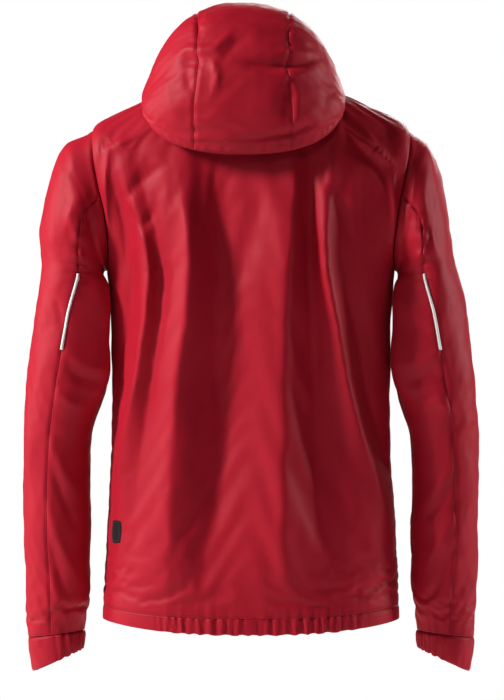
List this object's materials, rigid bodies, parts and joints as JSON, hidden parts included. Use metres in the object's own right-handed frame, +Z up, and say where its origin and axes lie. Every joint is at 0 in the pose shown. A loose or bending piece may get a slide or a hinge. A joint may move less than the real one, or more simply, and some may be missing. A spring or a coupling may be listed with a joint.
{
  "type": "hardshell jacket",
  "caption": "Hooded waterproof shell jacket with a full front zip, hand pockets, elastic cuffs and hem, reflective elbow piping and a hood that raises.",
  "frame": {"origin": "middle of the hang loop's underside, inside the collar at the centre of the back neck", "axes": "+Z up; +Y the way the wearer faces; +X the wearer's right"},
  "size_m": [0.6408, 0.3025, 0.9404],
  "materials": {
    "shell": "red coated nylon, satin",
    "lining": "dark knitted elastic and lining",
    "trim": "black moulded nylon",
    "tape": "black woven tape",
    "slider_metal": "black plated zinc",
    "reflective": "silver-white reflective piping"
  },
  "bodies": {
    "front_slider": {"front_zip_slider": "slider_metal"},
    "front_pull": {"front_zip_pull": "trim"},
    "torso": {"front_zip_end_box": "trim", "wind_flap": "shell", "chin_guard": "lining", "front_zip_tape_right": "tape", "front_zip_teeth_right": "trim", "front_zip_top_stop_right": "slider_metal", "front_zip_tape_left": "tape", "front_zip_teeth_left": "trim", "front_zip_top_stop_left": "slider_metal", "back_panel": "shell", "collar": "shell", "hem_band": "shell", "hem_elastic": "lining", "hood_gusset": "shell", "hang_loop": "tape", "back_patch": "tape", "front_panel_right": "shell", "front_yoke_right": "shell", "pocket_bag_right": "lining", "pocket_zip_tape_right": "tape", "pocket_zip_teeth_right": "trim", "hem_lock_right": "trim", "hood_lock_right": "trim", "front_panel_left": "shell", "front_yoke_left": "shell", "pocket_bag_left": "lining", "pocket_zip_tape_left": "tape", "pocket_zip_teeth_left": "trim", "hem_lock_left": "trim", "hood_lock_left": "trim"},
    "hood": {"hood_side_left": "shell", "hood_middle_panel": "shell", "hood_side_right": "shell", "hood_peak": "shell", "hood_rim_casing": "shell", "hood_rim_elastic": "lining"},
    "sleeve_right": {"upper_sleeve_right": "shell", "under_sleeve_right": "shell", "cuff_band_right": "shell", "cuff_elastic_right": "lining", "reflective_piping_right": "reflective"},
    "pocket_slider_right": {"pocket_zip_slider_right": "slider_metal"},
    "pocket_pull_right": {"pocket_zip_pull_right": "trim"},
    "hem_button_right": {"hem_lock_button_right": "trim"},
    "hood_button_right": {"hood_lock_button_right": "trim"},
    "sleeve_left": {"upper_sleeve_left": "shell", "under_sleeve_left": "shell", "cuff_band_left": "shell", "cuff_elastic_left": "lining", "reflective_piping_left": "reflective"},
    "pocket_slider_left": {"pocket_zip_slider_left": "slider_metal"},
    "pocket_pull_left": {"pocket_zip_pull_left": "trim"},
    "hem_button_left": {"hem_lock_button_left": "trim"},
    "hood_button_left": {"hood_lock_button_left": "trim"}
  },
  "joints": [
    {"name": "front_zip_travel", "type": "slide", "parent": "torso", "child": "front_slider", "axis": [0, 0.0896, -0.996], "range_m": [0, 0.728]},
    {"name": "front_pull_swing", "type": "hinge", "parent": "front_slider", "child": "front_pull", "pos_m": [0, 0.15328, 0.01475], "axis": [1, 0, 0], "range_deg": [0, 150]},
    {"name": "pocket_zip_travel_right", "type": "slide", "parent": "torso", "child": "pocket_slider_right", "axis": [0.1873, -0.0033, -0.9823], "range_m": [0, 0.122]},
    {"name": "pocket_pull_swing_right", "type": "hinge", "parent": "pocket_slider_right", "child": "pocket_pull_right", "pos_m": [0.12737, 0.17927, -0.45447], "axis": [0.8742, -0.4556, 0.1682], "range_deg": [0, 150]},
    {"name": "hem_lock_press_right", "type": "slide", "parent": "torso", "child": "hem_button_right", "axis": [0, 0, -1], "range_m": [0, 0.003], "stiffness_N_per_m": 300, "springref_m": -0.002},
    {"name": "hood_lock_press_right", "type": "slide", "parent": "torso", "child": "hood_button_right", "axis": [0, 0, -1], "range_m": [0, 0.003], "stiffness_N_per_m": 300, "springref_m": -0.002},
    {"name": "sleeve_swing_right", "type": "hinge", "parent": "torso", "child": "sleeve_right", "pos_m": [0.226, 0.06, -0.034], "axis": [0, -1, 0], "range_deg": [0, 30]},
    {"name": "pocket_zip_travel_left", "type": "slide", "parent": "torso", "child": "pocket_slider_left", "axis": [-0.1873, -0.0033, -0.9823], "range_m": [0, 0.122]},
    {"name": "pocket_pull_swing_left", "type": "hinge", "parent": "pocket_slider_left", "child": "pocket_pull_left", "pos_m": [-0.12737, 0.17927, -0.45447], "axis": [0.8742, 0.4556, -0.1682], "range_deg": [0, 150]},
    {"name": "hem_lock_press_left", "type": "slide", "parent": "torso", "child": "hem_button_left", "axis": [0, 0, -1], "range_m": [0, 0.003], "stiffness_N_per_m": 300, "springref_m": -0.002},
    {"name": "hood_lock_press_left", "type": "slide", "parent": "torso", "child": "hood_button_left", "axis": [0, 0, -1], "range_m": [0, 0.003], "stiffness_N_per_m": 300, "springref_m": -0.002},
    {"name": "sleeve_swing_left", "type": "hinge", "parent": "torso", "child": "sleeve_left", "pos_m": [-0.226, 0.06, -0.034], "axis": [0, 1, 0], "range_deg": [0, 30]},
    {"name": "hood_raise", "type": "hinge", "parent": "torso", "child": "hood", "pos_m": [0, 0.153, -0.046], "axis": [-1, 0, 0], "range_deg": [0, 35]}
  ]
}
